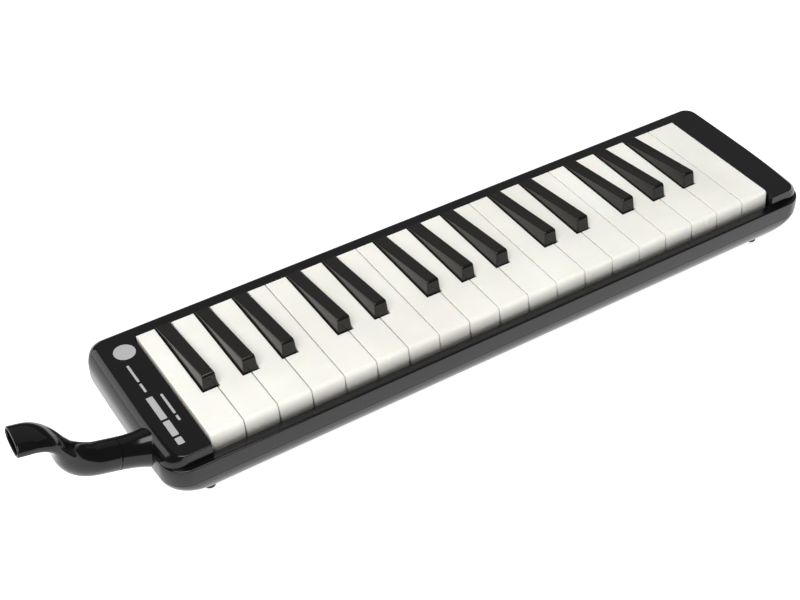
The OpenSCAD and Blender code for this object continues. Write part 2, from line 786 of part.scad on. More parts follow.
module drain_seal() {
    color([0.3, 0.3, 0.3]) place() difference() {
        rod_x(seat_x - seal_t, seat_x, drain_y, stem_z, stem_head_r);
        rod_x(seat_x - 3, seat_x + 3, drain_y, stem_z, stem_r + run_gap);
    }
}

for (i = [1 : white_count]) white_key(i - 1);
for (i = [1 : len(BLACKS)]) black_key(BLACKS[i - 1]);
upper_case();
lower_case();
wind_chest();
reed_plate_low();
reed_plate_high();
reeds_low();
reeds_high();
reed_plate_screws();
chamber_gasket();
chamber_cover();
chamber_screws();
pivot_rail();
pivot_rod();
key_springs();
white_key_guides();
black_key_guides();
down_stop_felt();
mouth_socket();
mouth_seal();
mouthpiece();
drain_button();
drain_spring();
drain_seal();
hand_strap();
strap_clips();
strap_screws();
rubber_feet();
case_screws();
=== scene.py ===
import json
import math

import bmesh
import bpy
from mathutils import Matrix, Vector


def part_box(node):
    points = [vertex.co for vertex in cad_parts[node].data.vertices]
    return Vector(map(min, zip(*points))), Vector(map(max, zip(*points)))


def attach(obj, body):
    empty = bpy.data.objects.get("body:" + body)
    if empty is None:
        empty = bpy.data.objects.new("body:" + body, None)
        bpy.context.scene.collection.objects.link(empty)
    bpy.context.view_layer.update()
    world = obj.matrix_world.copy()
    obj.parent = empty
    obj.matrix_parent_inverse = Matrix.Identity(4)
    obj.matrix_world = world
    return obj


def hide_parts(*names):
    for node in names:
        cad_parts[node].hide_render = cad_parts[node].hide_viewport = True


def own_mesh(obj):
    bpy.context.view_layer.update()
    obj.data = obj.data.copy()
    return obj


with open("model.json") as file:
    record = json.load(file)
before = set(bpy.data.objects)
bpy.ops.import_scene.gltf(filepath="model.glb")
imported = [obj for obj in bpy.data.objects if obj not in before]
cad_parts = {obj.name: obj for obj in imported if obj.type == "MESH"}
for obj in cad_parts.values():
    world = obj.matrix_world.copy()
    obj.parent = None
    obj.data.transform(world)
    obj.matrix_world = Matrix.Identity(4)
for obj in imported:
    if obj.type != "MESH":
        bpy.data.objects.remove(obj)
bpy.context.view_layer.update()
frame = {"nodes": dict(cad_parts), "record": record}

# ---- Frame: keyboard coordinates in millimetres, as the CAD draws them ----

MM = 0.001
WELD = 2e-6
FLAT = math.radians(0.8)
key_low, key_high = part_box("white_key_1")
OX = key_low.x - 0.25 * MM
OY = key_low.y + 1.6 * MM
OZ = key_high.z
PITCH = 19.3
WHITES = 19
KEYBOARD = WHITES * PITCH
MID = KEYBOARD / 2
WHITE_LEN = 85.2
CASE_LEN = 421.0
FRONT_Y = -8.3
BACK_Y = 98.5
TOP = -2.2
BOTTOM = -38.0
SEAM = -19.5
HALF_GAP = 0.12
LEDGE = -9.3
WALL = 2.2
TUBE_R = 8.4
NECK = Vector((-27.0, 22.0, -13.2))
TILT = math.radians(16)
AXIS = Vector((-math.cos(TILT), 0, math.sin(TILT)))
SIDE = Vector((0, 1, 0))
NECK_OUT = 14.5
SOCKET_R = 7.2


def mm(x, y, z):
    return Vector((OX + x * MM, OY + y * MM, OZ + z * MM))


def new_object(name, verts, faces, smooth=False):
    mesh = bpy.data.meshes.new(name)
    mesh.from_pydata([tuple(v) for v in verts], [], faces)
    mesh.validate()
    bm = bmesh.new()
    bm.from_mesh(mesh)
    bmesh.ops.recalc_face_normals(bm, faces=bm.faces)
    bm.to_mesh(mesh)
    bm.free()
    for p in mesh.polygons:
        p.use_smooth = smooth
    o = bpy.data.objects.new(name, mesh)
    bpy.context.scene.collection.objects.link(o)
    return o


def loft(rings, caps=True):
    """Vertices and faces through rings of equal length."""
    n = len(rings[0])
    verts = [v for r in rings for v in r]
    faces = []
    for k in range(len(rings) - 1):
        for j in range(n):
            m = (j + 1) % n
            faces.append((k * n + j, k * n + m, (k + 1) * n + m, (k + 1) * n + j))
    if caps:
        faces.append(tuple(range(n - 1, -1, -1)))
        faces.append(tuple((len(rings) - 1) * n + j for j in range(n)))
    return verts, faces


def hollow_loft(rings):
    """A loft whose last ring joins its first, so that it stays open along its axis."""
    verts, faces = loft(rings, caps=False)
    n = len(rings[0])
    last = (len(rings) - 1) * n
    faces += [(last + j, last + (j + 1) % n, (j + 1) % n, j) for j in range(n)]
    return verts, faces


def box_shape(low, high):
    x0, y0, z0 = low
    x1, y1, z1 = high
    v = [mm(x, y, z) for z in (z0, z1) for x, y in ((x0, y0), (x1, y0), (x1, y1), (x0, y1))]
    f = [(3, 2, 1, 0), (4, 5, 6, 7), (0, 1, 5, 4), (1, 2, 6, 5), (2, 3, 7, 6), (3, 0, 4, 7)]
    return v, f


def lathe(origin, axis, profile, sides=64, wobble=None):
    """Closed solid round an axis: profile is (along, radius); wobble varies the radius by angle."""
    axis = Vector(axis).normalized()
    side = axis.cross(Vector((0, 1, 0)))
    if side.length < 0.1:
        side = axis.cross(Vector((1, 0, 0)))
    side.normalize()
    other = axis.cross(side)
    rings = []
    for a, r in profile:
        ring = []
        for j in range(sides):
            q = 2 * math.pi * j / sides
            rr = r if wobble is None else wobble(r, q)
            p = Vector(origin) + axis * a + side * (rr * math.cos(q)) + other * (rr * math.sin(q))
            ring.append(mm(*p))
        rings.append(ring)
    return loft(rings)


def ring_at(centre, across, up, r, sides):
    turn = [2 * math.pi * j / sides for j in range(sides)]
    return [mm(*(centre + across * (r * math.cos(q)) + up * (r * math.sin(q)))) for q in turn]


def merged(shapes):
    verts, faces = [], []
    for v, f in shapes:
        k = len(verts)
        verts += v
        faces += [tuple(i + k for i in face) for face in f]
    return verts, faces


def cut(target, shapes, how="DIFFERENCE"):
    """Boolean of the object with closed shapes."""
    v, f = merged(shapes)
    tool = new_object("tool", v, f)
    m = target.modifiers.new("bool", "BOOLEAN")
    m.operation = how
    m.solver = "EXACT"
    m.object = tool
    dg = bpy.context.evaluated_depsgraph_get()
    result = bpy.data.meshes.new_from_object(target.evaluated_get(dg))
    target.modifiers.clear()
    old = target.data
    target.data = result
    bpy.data.meshes.remove(old)
    bpy.data.objects.remove(tool)


def clean(o):
    bm = bmesh.new()
    bm.from_mesh(o.data)
    bmesh.ops.remove_doubles(bm, verts=bm.verts, dist=WELD)
    bmesh.ops.dissolve_degenerate(bm, edges=bm.edges, dist=WELD)
    bm.to_mesh(o.data)
    bm.free()


def mark_edges(o, angle, seam_share):
    """Bevel weights: sharp edges get 1, those on the seam between the halves less."""
    bm = bmesh.new()
    bm.from_mesh(o.data)
    layer = bm.edges.layers.float.new("bevel_weight_edge")
    limit = math.radians(angle)
    for e in bm.edges:
        if len(e.link_faces) == 2 and e.calc_face_angle() > limit:
            on_seam = all(abs(v.co.z - OZ - SEAM * MM) < 0.25 * MM for v in e.verts)
            e[layer] = seam_share if on_seam else 1.0
    bm.to_mesh(o.data)
    bm.free()


def soften(o, width, segments=2, angle=35, weld=False):
    """Rounded edges and smooth shading."""
    for p in o.data.polygons:
        p.use_smooth = True
    if weld:
        w = o.modifiers.new("weld", "WELD")
        w.merge_threshold = WELD
        d = o.modifiers.new("flats", "DECIMATE")
        d.decimate_type = "DISSOLVE"
        d.angle_limit = FLAT
    if width > 0:
        b = o.modifiers.new("bevel", "BEVEL")
        b.width = width * MM
        b.segments = segments
        b.limit_method = "ANGLE" if angle else "WEIGHT"
        b.angle_limit = math.radians(angle)
        b.use_clamp_overlap = True
        b.miter_outer = "MITER_ARC"
    n = o.modifiers.new("normals", "WEIGHTED_NORMAL")
    n.keep_sharp = False
    n.weight = 80


# ---- Materials ----


def times(colour, factor, plus=0.0):
    return tuple(min(1.0, c * factor + plus) for c in colour)


class Nodes:
    """Small helper for building one material's node tree."""

    def __init__(self, name):
        self.mat = bpy.data.materials.new(name)
        self.mat.use_nodes = True
        self.tree = self.mat.node_tree
        self.tree.nodes.clear()
        self.out = self.tree.nodes.new("ShaderNodeOutputMaterial")
        self.bsdf = self.tree.nodes.new("ShaderNodeBsdfPrincipled")
        self.tree.links.new(self.bsdf.outputs[0], self.out.inputs[0])
        self.co = self.tree.nodes.new("ShaderNodeTexCoord").outputs["Object"]

    def node(self, kind, **settings):
        n = self.tree.nodes.new(kind)
        for k, v in settings.items():
            setattr(n, k, v)
        return n

    def link(self, a, b):
        self.tree.links.new(a, b)

    def scaled(self, scale):
        m = self.node("ShaderNodeMapping")
        m.inputs["Scale"].default_value = scale
        self.link(self.co, m.inputs["Vector"])
        return m.outputs[0]

    def noise(self, scale, detail=3.0, rough=0.55, vector=None, distortion=0.0):
        n = self.node("ShaderNodeTexNoise")
        n.inputs["Scale"].default_value = scale
        n.inputs["Detail"].default_value = detail
        n.inputs["Roughness"].default_value = rough
        n.inputs["Distortion"].default_value = distortion
        self.link(vector or self.co, n.inputs["Vector"])
        return n.outputs["Fac"]

    def ramp(self, value, low, high, to_low, to_high):
        r = self.node("ShaderNodeMapRange", clamp=True)
        self.link(value, r.inputs["Value"])
        for k, v in (("From Min", low), ("From Max", high), ("To Min", to_low), ("To Max", to_high)):
            r.inputs[k].default_value = v
        return r.outputs["Result"]

    def math(self, operation, a, b=0.5):
        n = self.node("ShaderNodeMath", operation=operation, use_clamp=True)
        for socket, value in zip(n.inputs, (a, b)):
            if isinstance(value, (int, float)):
                socket.default_value = value
            else:
                self.link(value, socket)
        return n.outputs[0]

    def mix(self, factor, a, b):
        n = self.node("ShaderNodeMix", data_type="RGBA")
        self.link(factor, n.inputs["Factor"])
        colours = [s for s in n.inputs if s.type == "RGBA"]
        for socket, value in zip(colours, (a, b)):
            if isinstance(value, tuple):
                socket.default_value = (*value, 1)
            else:
                self.link(value, socket)
        return [s for s in n.outputs if s.type == "RGBA"][0]

    def bump(self, height, distance, strength=1.0, under=None):
        b = self.node("ShaderNodeBump")
        b.inputs["Distance"].default_value = distance
        b.inputs["Strength"].default_value = strength
        self.link(height, b.inputs["Height"])
        if under is not None:
            self.link(under, b.inputs["Normal"])
        return b.outputs[0]

    def edge(self, radius):
        """1 on edges, 0 on flats."""
        bevel = self.node("ShaderNodeBevel", samples=4)
        bevel.inputs["Radius"].default_value = radius
        geo = self.node("ShaderNodeNewGeometry")
        dot = self.node("ShaderNodeVectorMath", operation="DOT_PRODUCT")
        self.link(bevel.outputs[0], dot.inputs[0])
        self.link(geo.outputs["Normal"], dot.inputs[1])
        return self.ramp(dot.outputs["Value"], 0.98, 0.80, 0.0, 1.0)


def plastic(name, colour, rough, spread=0.05, texture=0.00001, worn=None, inner=0.0, gloss=0.5):
    """Moulded plastic: spread varies the roughness, worn is the colour of its edges, inner lets light in."""
    m = Nodes(name)
    cloud = m.noise(38, 4)
    fine = m.noise(900, 2, 0.5)
    scratch = m.noise(60, 3, 0.6, m.scaled((1, 26, 26)), 0.4)
    lines = m.ramp(scratch, 0.66, 0.74, 0.0, 1.0)
    patches = m.ramp(cloud, 0.3, 0.7, rough - spread / 2, rough + spread / 2)
    value = m.math("ADD", patches, m.math("MULTIPLY", lines, 0.04))
    worn = worn or times(colour, 1.6, 0.01)
    edge = m.math("MULTIPLY", m.edge(0.0005), m.ramp(m.noise(120, 4), 0.4, 0.65, 0.0, 0.55))
    tint = m.mix(m.ramp(m.noise(14, 3), 0.3, 0.7, 0.0, 1.0), times(colour, 0.93), times(colour, 1.07))
    m.link(m.mix(edge, tint, worn), m.bsdf.inputs["Base Color"])
    m.link(value, m.bsdf.inputs["Roughness"])
    m.bsdf.inputs["IOR"].default_value = 1.5
    m.bsdf.inputs["Specular IOR Level"].default_value = gloss
    if inner:
        m.bsdf.inputs["Subsurface Weight"].default_value = inner
        m.bsdf.inputs["Subsurface Radius"].default_value = (1.0, 0.62, 0.36)
        m.bsdf.inputs["Subsurface Scale"].default_value = 0.0035
    wave = m.bump(m.noise(22, 2, 0.4), 0.00005, 0.3)
    m.link(m.bump(fine, texture, 0.6, wave), m.bsdf.inputs["Normal"])
    return m.mat


def metal(name, colour, rough, stretch=(1, 40, 40), spots=0.0):
    m = Nodes(name)
    grain = m.noise(240, 4, 0.6, m.scaled(stretch))
    cloud = m.noise(60, 4)
    m.bsdf.inputs["Metallic"].default_value = 1.0
    m.bsdf.inputs["Anisotropic"].default_value = 0.3
    tarnish = m.ramp(cloud, 0.45, 0.75, 0.0, 0.4 + spots)
    edge = m.edge(0.0003)
    base = m.mix(tarnish, colour, times(colour, 0.62))
    m.link(m.mix(m.math("MULTIPLY", edge, 0.5), base, times(colour, 1.25)), m.bsdf.inputs["Base Color"])
    m.link(m.ramp(grain, 0.3, 0.7, rough - 0.08, rough + 0.1), m.bsdf.inputs["Roughness"])
    m.link(m.bump(grain, 0.00001, 0.5), m.bsdf.inputs["Normal"])
    return m.mat


def rubber(name, colour, rough=0.75):
    m = Nodes(name)
    speck = m.noise(1500, 3)
    dust = m.ramp(m.noise(90, 5), 0.45, 0.75, 0.0, 0.5)
    m.link(m.mix(dust, colour, times(colour, 1.8, 0.012)), m.bsdf.inputs["Base Color"])
    m.link(m.ramp(m.noise(120, 3), 0.3, 0.7, rough - 0.1, rough + 0.1), m.bsdf.inputs["Roughness"])
    m.link(m.bump(speck, 0.00004, 0.6), m.bsdf.inputs["Normal"])
    return m.mat


def felt_material(name, colour):
    m = Nodes(name)
    fibre = m.noise(1800, 6, 0.7, None, 1.5)
    lump = m.noise(300, 3)
    m.link(m.mix(m.ramp(fibre, 0.35, 0.7, 0.0, 1.0), times(colour, 0.6), colour), m.bsdf.inputs["Base Color"])
    m.bsdf.inputs["Roughness"].default_value = 0.95
    m.bsdf.inputs["Sheen Weight"].default_value = 0.5
    m.bsdf.inputs["Sheen Roughness"].default_value = 0.5
    m.link(m.bump(fibre, 0.0002, 0.7, m.bump(lump, 0.0004, 0.4)), m.bsdf.inputs["Normal"])
    return m.mat


def web_material(name, colour):
    """Woven webbing: rows of ribs along the strap crossed by fine yarns."""
    m = Nodes(name)
    rib = m.node("ShaderNodeTexWave", wave_type="BANDS", bands_direction="Y", wave_profile="SIN")
    rib.inputs["Scale"].default_value = 190
    rib.inputs["Distortion"].default_value = 0.4
    m.link(m.co, rib.inputs["Vector"])
    yarn = m.node("ShaderNodeTexWave", wave_type="BANDS", bands_direction="X", wave_profile="SIN")
    yarn.inputs["Scale"].default_value = 330
    yarn.inputs["Distortion"].default_value = 0.6
    m.link(m.co, yarn.inputs["Vector"])
    weave = m.math("MULTIPLY", rib.outputs["Fac"], yarn.outputs["Fac"])
    fuzz = m.noise(2600, 3)
    shade = m.math("MULTIPLY", weave, m.ramp(fuzz, 0.2, 0.8, 0.6, 1.0))
    m.link(m.mix(shade, times(colour, 0.4), times(colour, 1.7)), m.bsdf.inputs["Base Color"])
    m.bsdf.inputs["Roughness"].default_value = 0.85
    m.bsdf.inputs["Sheen Weight"].default_value = 0.3
    m.link(m.bump(weave, 0.0004, 0.8, m.bump(fuzz, 0.0001, 0.4)), m.bsdf.inputs["Normal"])
    return m.mat


BLACK = (0.0042, 0.0042, 0.0047)
KEY_BLACK = (0.0085, 0.0078, 0.0068)
IVORY = (0.885, 0.86, 0.795)
WORN_IVORY = (0.89, 0.867, 0.81)
FINE = 0.000006
MAT = {
    "case_black": plastic("case_abs", BLACK, 0.13, 0.05, FINE, gloss=0.4),
    "mouthpiece_black": plastic("mouthpiece_abs", BLACK, 0.11, 0.04, FINE, gloss=0.4),
    "key_black": plastic("black_key_plastic", KEY_BLACK, 0.14, 0.05, FINE, gloss=0.4),
    "ivory_plastic": plastic("ivory_key_plastic", IVORY, 0.26, 0.03, FINE, WORN_IVORY, inner=0.3),
    "chest_plastic": plastic("chest_moulding", (0.05, 0.05, 0.053), 0.5, 0.12, 0.00003),
    "clip_plastic": plastic("clamp_plastic", (0.014, 0.014, 0.015), 0.45, 0.12, 0.00003),
    "reed_plate": metal("reed_plate_metal", (0.72, 0.70, 0.66), 0.32),
    "reed_brass": metal("reed_bronze", (0.72, 0.52, 0.24), 0.28, (40, 1, 40)),
    "screw_steel": metal("zinc_screw", (0.62, 0.62, 0.60), 0.32, (1, 1, 8), 0.2),
    "rod_steel": metal("ground_rod", (0.60, 0.60, 0.61), 0.22, (1, 60, 60)),
    "spring_steel": metal("spring_steel", (0.45, 0.45, 0.47), 0.28, (60, 1, 60)),
    "gasket_rubber": rubber("gasket_sheet", (0.12, 0.02, 0.015)),
    "seal_rubber": rubber("seal_ring_rubber", (0.02, 0.02, 0.02), 0.6),
    "foot_rubber": rubber("foot_rubber", (0.012, 0.012, 0.012), 0.6),
    "felt": felt_material("red_felt", (0.32, 0.02, 0.02)),
    "strap_web": web_material("strap_webbing", (0.02, 0.02, 0.022)),
}
PRINT = plastic("silver_print", (0.42, 0.42, 0.42), 0.38, 0.1, 0.00001)
PAD = felt_material("pad_felt", (0.55, 0.50, 0.42))


def paint(o, key):
    o.data.materials.clear()
    o.data.materials.append(MAT[key])


def piece(o, body, key, *nodes):
    paint(o, key)
    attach(o, body)
    if nodes:
        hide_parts(*nodes)


# ---- CAD nodes: inner parts keep their mesh and get rounded edges, keys are rebuilt with theirs ----

record = frame["record"]
SLOT = {s["node"]: s["material_slot"] for s in record["subparts"]}
WIDTHS = {
    "wind_chest": 0.3, "reed_plate_low": 0.08, "reed_plate_high": 0.08, "reeds_low": 0.04,
    "reeds_high": 0.04, "reed_plate_screws": 0.12, "chamber_gasket": 0.1, "chamber_cover": 0.3,
    "chamber_screws": 0.2, "pivot_rail": 0.3, "pivot_rod": 0.2, "key_springs": 0.05,
    "white_key_guides": 0.2, "black_key_guides": 0.2, "down_stop_felt": 0.4, "mouth_seal": 0.25,
    "drain_button": 0.5, "drain_seal": 0.15, "strap_clips": 0.35, "rubber_feet": 0.5,
}


def key_mesh(name, offset, angle, picked):
    """The key as drawn, with the picked sharp edges of its playing part rounded."""
    bm = bmesh.new()
    bm.from_mesh(frame["nodes"][name].data)
    bmesh.ops.remove_doubles(bm, verts=bm.verts, dist=WELD)
    bmesh.ops.dissolve_limit(bm, angle_limit=FLAT, verts=bm.verts, edges=bm.edges)
    x0, x1 = ((corner.x - OX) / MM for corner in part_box(name))
    edges = []
    for e in bm.edges:
        if len(e.link_faces) != 2 or not e.is_convex or e.calc_face_angle() < math.radians(angle):
            continue
        ends = [((v.co.x - OX) / MM, (v.co.y - OY) / MM, (v.co.z - OZ) / MM) for v in e.verts]
        if picked(ends, x0, x1):
            edges.append(e)
    bmesh.ops.bevel(
        bm, geom=edges, offset=offset * MM, offset_type="OFFSET", segments=4, profile=0.5,
        affect="EDGES", clamp_overlap=True,
    )
    mesh = bpy.data.meshes.new(name + "_moulding")
    bm.to_mesh(mesh)
    bm.free()
    o = bpy.data.objects.new(name + "_moulding", mesh)
    bpy.context.scene.collection.objects.link(o)
    soften(o, 0)
    return o


def white_edges(ends, x0, x1):
    on_top = all(z > -0.05 for x, y, z in ends)
    on_side = all(min(x - x0, x1 - x) < 0.05 for x, y, z in ends)
    at_front = all(y < 2.1 and z > WHITE_LIP - 0.05 for x, y, z in ends)
    at_front = at_front and any(z > WHITE_LIP + 0.1 for x, y, z in ends)
    return on_top or (on_side and at_front)


def black_edges(ends, x0, x1):
    on_top = all(z > 0.3 for x, y, z in ends)
    at_front = all(y < BLACK_FRONT + 2.2 and z > BLACK_LIP - 0.05 for x, y, z in ends)
    at_front = at_front and any(z > BLACK_LIP + 0.1 for x, y, z in ends)
    return on_top or at_front


WHITE_LIP, BLACK_LIP = -12.0, -8.0
BLACK_FRONT = WHITE_LEN - 56.0
WHITE_ROUNDING, BLACK_ROUNDING = 0.42, 0.75
PAD_Y, PAD_Z = OY + 79.72 * MM, OZ - 15.35 * MM
for name, node in list(frame["nodes"].items()):
    if not name.split("_")[-1].isdigit():
        paint(node, SLOT[name])
        if name in WIDTHS:
            soften(node, WIDTHS[name], 2, 40, weld=True)
        continue
    if name.startswith("white"):
        key = key_mesh(name, WHITE_ROUNDING, 50, white_edges)
    else:
        key = key_mesh(name, BLACK_ROUNDING, 18, black_edges)
    piece(key, name + "_body", SLOT[name], name)
    key.data.materials.append(PAD)
    for p in key.data.polygons:
        corners = [key.data.vertices[i].co for i in p.vertices]
        if all(c.z < PAD_Z and c.y < PAD_Y for c in corners):
            p.material_index = 1

# ---- Case ----


def smooth(a, b, t):
    t = min(1.0, max(0.0, (t - a) / (b - a)))
    return t * t * (3 - 2 * t)


def along(points, z):
    """Monotone cubic through (z, value) points."""
    if z <= points[0][0]:
        return points[0][1]
    if z >= points[-1][0]:
        return points[-1][1]
    slopes = [(b[1] - a[1]) / (b[0] - a[0]) for a, b in zip(points, points[1:])]
    tangents = [slopes[0]] + [
        2 * a * b / (a + b) if a * b > 0 else 0.0 for a, b in zip(slopes, slopes[1:])
    ] + [slopes[-1]]
    for k in range(len(points) - 1):
        z0, v0 = points[k]
        z1, v1 = points[k + 1]
        if z <= z1:
            h = z1 - z0
            s = (z - z0) / h
            return (
                v0 * (1 + 2 * s) * (1 - s) ** 2 + h * tangents[k] * s * (1 - s) ** 2
                + v1 * s * s * (3 - 2 * s) + h * tangents[k + 1] * s * s * (s - 1)
            )
    return points[-1][1]


# Insets from the case's plan outline by height, then its corner radii and the bow of its ends
CHEEK = 3.3
FILLET = 0.45
BELLY = 20
END_IN = [(-9.25, 0.66), (-7.4, 1.35), (-5.5, 2.45), (-3.2, 4.4), (TOP, 5.8)]
BACK_IN = [(-9.25, 0.34), (-5.5, 1.2), (-3.2, 2.9), (TOP, 4.5)]
FRONT_IN = [(-9.25, CHEEK), (-5.5, CHEEK + 0.3), (TOP, CHEEK + 0.5)]
CORNER_R = [(-9.25, 10.0), (-5.5, 8.0), (-3.2, 7.0), (TOP, 6.0)]
FRONT_BOW = [(-9.25, 1.6), (-5.5, 2.0), (-3.2, 2.6), (TOP, 2.8)]
BACK_BOW = [(-9.25, 0.6), (-5.5, 0.5), (TOP, 0.4)]


def levels():
    """Rows of height, end, front and back inset, front and back radius, front and back bow."""
    rows = []
    for i in range(19):
        a = math.radians(90 - 90 * i / 18)
        k = 1 - math.cos(a)
        rows.append((
            BOTTOM + BELLY * (1 - math.sin(a)), 30 * k, BELLY * k, BELLY * k,
            13 + 15 * k, 11 + 16 * k, 1.2 + 2.2 * k, 0.6 + 2.2 * k,
        ))
    rows.append((-15.0, 0, 0, 0, 13, 11, 1.2, 0.6))
    rows.append((-13.5, 0.05, 0, 0, 13, 11, 1.25, 0.6))
    rows.append((-12.0, 0.15, 0, 0.05, 13, 10.7, 1.3, 0.6))
    rows.append((-11.0, 0.28, 0, 0.12, 13, 10.4, 1.35, 0.6))
    for drop, inset in ((0.6, 0.0), (0.35, 0.06), (0.15, 0.2), (0.04, 0.4), (0.0, 0.62)):
        rows.append((LEDGE - drop, 0.64 - 0.25 * drop, inset, 0.32 - 0.15 * drop, 13, 10, 1.5, 0.6))
    heights = [-9.25, -8.6, -7.9, -7.2, -6.4, -5.6, -4.9, -4.3, -3.8, -3.4, -3.1]
    fillet_angles = (0, 12, 24, 36, 48, 60, 72, 82, 90)
    heights += [TOP - FILLET + FILLET * math.sin(math.radians(a)) for a in fillet_angles]
    for z in heights:
        lift = max(0.0, (z - (TOP - FILLET)) / FILLET)
        round_in = FILLET * (1 - math.sqrt(max(0.0, 1 - lift * lift)))
        tiny = 0.3 * smooth(0.9, 1.0, lift)
        rows.append((
            z, along(END_IN, z) + tiny, along(FRONT_IN, z) + round_in, along(BACK_IN, z) + tiny,
            along(CORNER_R, z), along(CORNER_R, z), along(FRONT_BOW, z), along(BACK_BOW, z),
        ))
    return rows


def outline(level, t=0.0, steps=14, side=12):
    z, end_in, front_in, back_in, rf, rb, bow_f, bow_b = level
    half = CASE_LEN / 2 - end_in - t
    y0, y1 = FRONT_Y + front_in + t, BACK_Y - back_in - t
    rf, rb = max(1.0, rf - t), max(1.0, rb - t)
    middle, depth = (y0 + y1) / 2, (y1 - y0) / 2
    pts = []

    def corner(cx, cy, r, start):
        for i in range(steps + 1):
            a = math.radians(start + 90 * i / steps)
            pts.append([cx + r * math.cos(a), cy + r * math.sin(a)])

    corner(half - rf, y0 + rf, rf, -90)
    for i in range(1, side):
        pts.append([half, y0 + rf + (y1 - rb - y0 - rf) * i / side])
    corner(half - rb, y1 - rb, rb, 0)
    corner(-(half - rb), y1 - rb, rb, 90)
    for i in range(1, side):
        pts.append([-half, y1 - rb - (y1 - rb - y0 - rf) * i / side])
    corner(-(half - rf), y0 + rf, rf, 180)
    ring = []
    for x, y in pts:
        u = (y - middle) / depth
        bow = (bow_f if y < middle else bow_b) * u * u
        ring.append(mm(MID + x - math.copysign(bow, x), y, z))
    return ring


def inner_level(level, t):
    z = level[0]
    z = z - t if abs(z - LEDGE) < 0.2 else max(BOTTOM + t, min(TOP - t, z))
    return (z, *level[1:])


OUTER = levels()
COARSE = [OUTER[i] for i in (0, 4, 8, 12, 16, 18, 20)] + [
    (LEDGE, 0.6, 0, 0.3, 13, 10, 1.5, 0.6), (LEDGE + 0.05, 1, CHEEK, 0.4, 10, 10, 1.6, 0.6),
    (-5.5, 2.6, CHEEK + 0.3, 1.2, 8, 8, 2, 0.5), (-4.4, 3.4, CHEEK + 0.35, 2, 7.5, 7.5, 2.3, 0.45),
]


def shell(name):
    """Hollow case with the flare round the neck, before it is cut into halves."""
    v, f = loft([outline(level) for level in OUTER])
    o = new_object(name, v, f)

    def flare(r, q):
        # Fuller towards the top and front of the neck than below
        lean = 0.5 + 0.5 * math.cos(q - math.radians(150))
        return TUBE_R + (r - TUBE_R) * (0.25 + 0.75 * lean)

    # The neck runs out to the joint with the mouthpiece
    reach = NECK_OUT - 0.15
    profile = [(-8 + (reach + 8) * i / 24, TUBE_R + 5.6 * (1 - i / 24) ** 2.3) for i in range(25)]
    cut(o, [lathe(NECK, AXIS, profile, 72, flare)], "UNION")
    cut(o, [loft([outline(inner_level(level, WALL), WALL, 8, 6) for level in COARSE])])
    return o


def rod(x0, x1, y, z, r, sides=48):
    return lathe((x0, y, z), (1, 0, 0), [(0, r), (x1 - x0, r)], sides)


def post(x, y, z0, z1, r, sides=40):
    return lathe((x, y, z0), (0, 0, 1), [(0, r), (z1 - z0, r)], sides)


INLET_Y0, INLET_Y1 = 14.0, 30.0
DRAIN_Y, DRAIN_Z = 46, -25.3
SCREW_SEAT = -27
RECESS_ROOF = -32
FAR = 60
SCREWS = [(x, y) for x in (-13.5, KEYBOARD + 13.5) for y in (7.0, 82.0)]
FEET = [(x, y) for x in (0.7, KEYBOARD + 4.0) for y in (9.5, 80.0)]
X0, X1 = -0.8, KEYBOARD + 0.8
neck_bore = lathe(NECK - AXIS * 14, AXIS, [(0, SOCKET_R + 0.05), (40, SOCKET_R + 0.05)], 64)

upper = shell("upper_case_shell")
cut(upper, [
    box_shape((X0 - 1.8, FRONT_Y + 3.8, -13.5), (X0 + 0.02, 85.6, TOP - 1)),
    box_shape((X1 - 0.02, FRONT_Y + 3.8, -13.5), (X1 + 1.8, 85.6, TOP - 1)),
    box_shape((X0 + 0.05, -4.4, -13.5), (X1 - 0.05, -2.8, LEDGE - 0.5)),
], "UNION")
cut(upper, [
    box_shape((-FAR, -FAR, -90), (KEYBOARD + FAR, 160, SEAM + HALF_GAP)),
    box_shape((X0, FRONT_Y - 20, LEDGE), (X1, 0.2, 20)),
])
cut(upper, [box_shape((X0, -2.8, -80), (X1, 85.6, 20))])
cut(upper, [neck_bore])
clean(upper)
mark_edges(upper, 38, 0.25)
soften(upper, 0.35, 3, 0)
piece(upper, "case", "case_black", "upper_case")

lower = shell("lower_case_shell")
cut(lower, [box_shape((MID - 102.2, 19.8, BOTTOM + 0.5), (MID + 102.2, 72.2, RECESS_ROOF + WALL))], "UNION")
cut(lower, [post(x, y, BOTTOM + 0.02, BOTTOM + 7, 4.2) for x, y in FEET], "UNION")
cut(lower, [post(x, y, BOTTOM + 4.5, SEAM + 1, 4.0) for x, y in SCREWS], "UNION")
cut(lower, [rod(375.9, 391.2, DRAIN_Y, DRAIN_Z, 5.6)], "UNION")
cut(lower, [box_shape((-FAR, -FAR, SEAM - HALF_GAP), (KEYBOARD + FAR, 160, FAR))])
cut(lower, [
    box_shape((MID - 100, 22, -FAR), (MID + 100, 70, RECESS_ROOF)),
    rod(377.5, 400, DRAIN_Y, DRAIN_Z, 3.9),
    *[post(x, y, -60, SCREW_SEAT, 3.1) for x, y in SCREWS],
    *[post(x, y, BOTTOM - 5, BOTTOM + 3.8, 2.05) for x, y in FEET],
])
screw_holes = [post(x, y, -28, 0, 1.55) for x, y in SCREWS]
cut(lower, [neck_bore, *screw_holes, rod(374, 380, DRAIN_Y, -26.55, 0.95, 24)])
clean(lower)
mark_edges(lower, 38, 0.25)
soften(lower, 0.35, 3, 0)
piece(lower, "case", "case_black", "lower_case")

# ---- Marks on the bass cheek: a plain disc and plain bars ----

PRINT_Z = TOP - 0.01
LIFT = 0.04


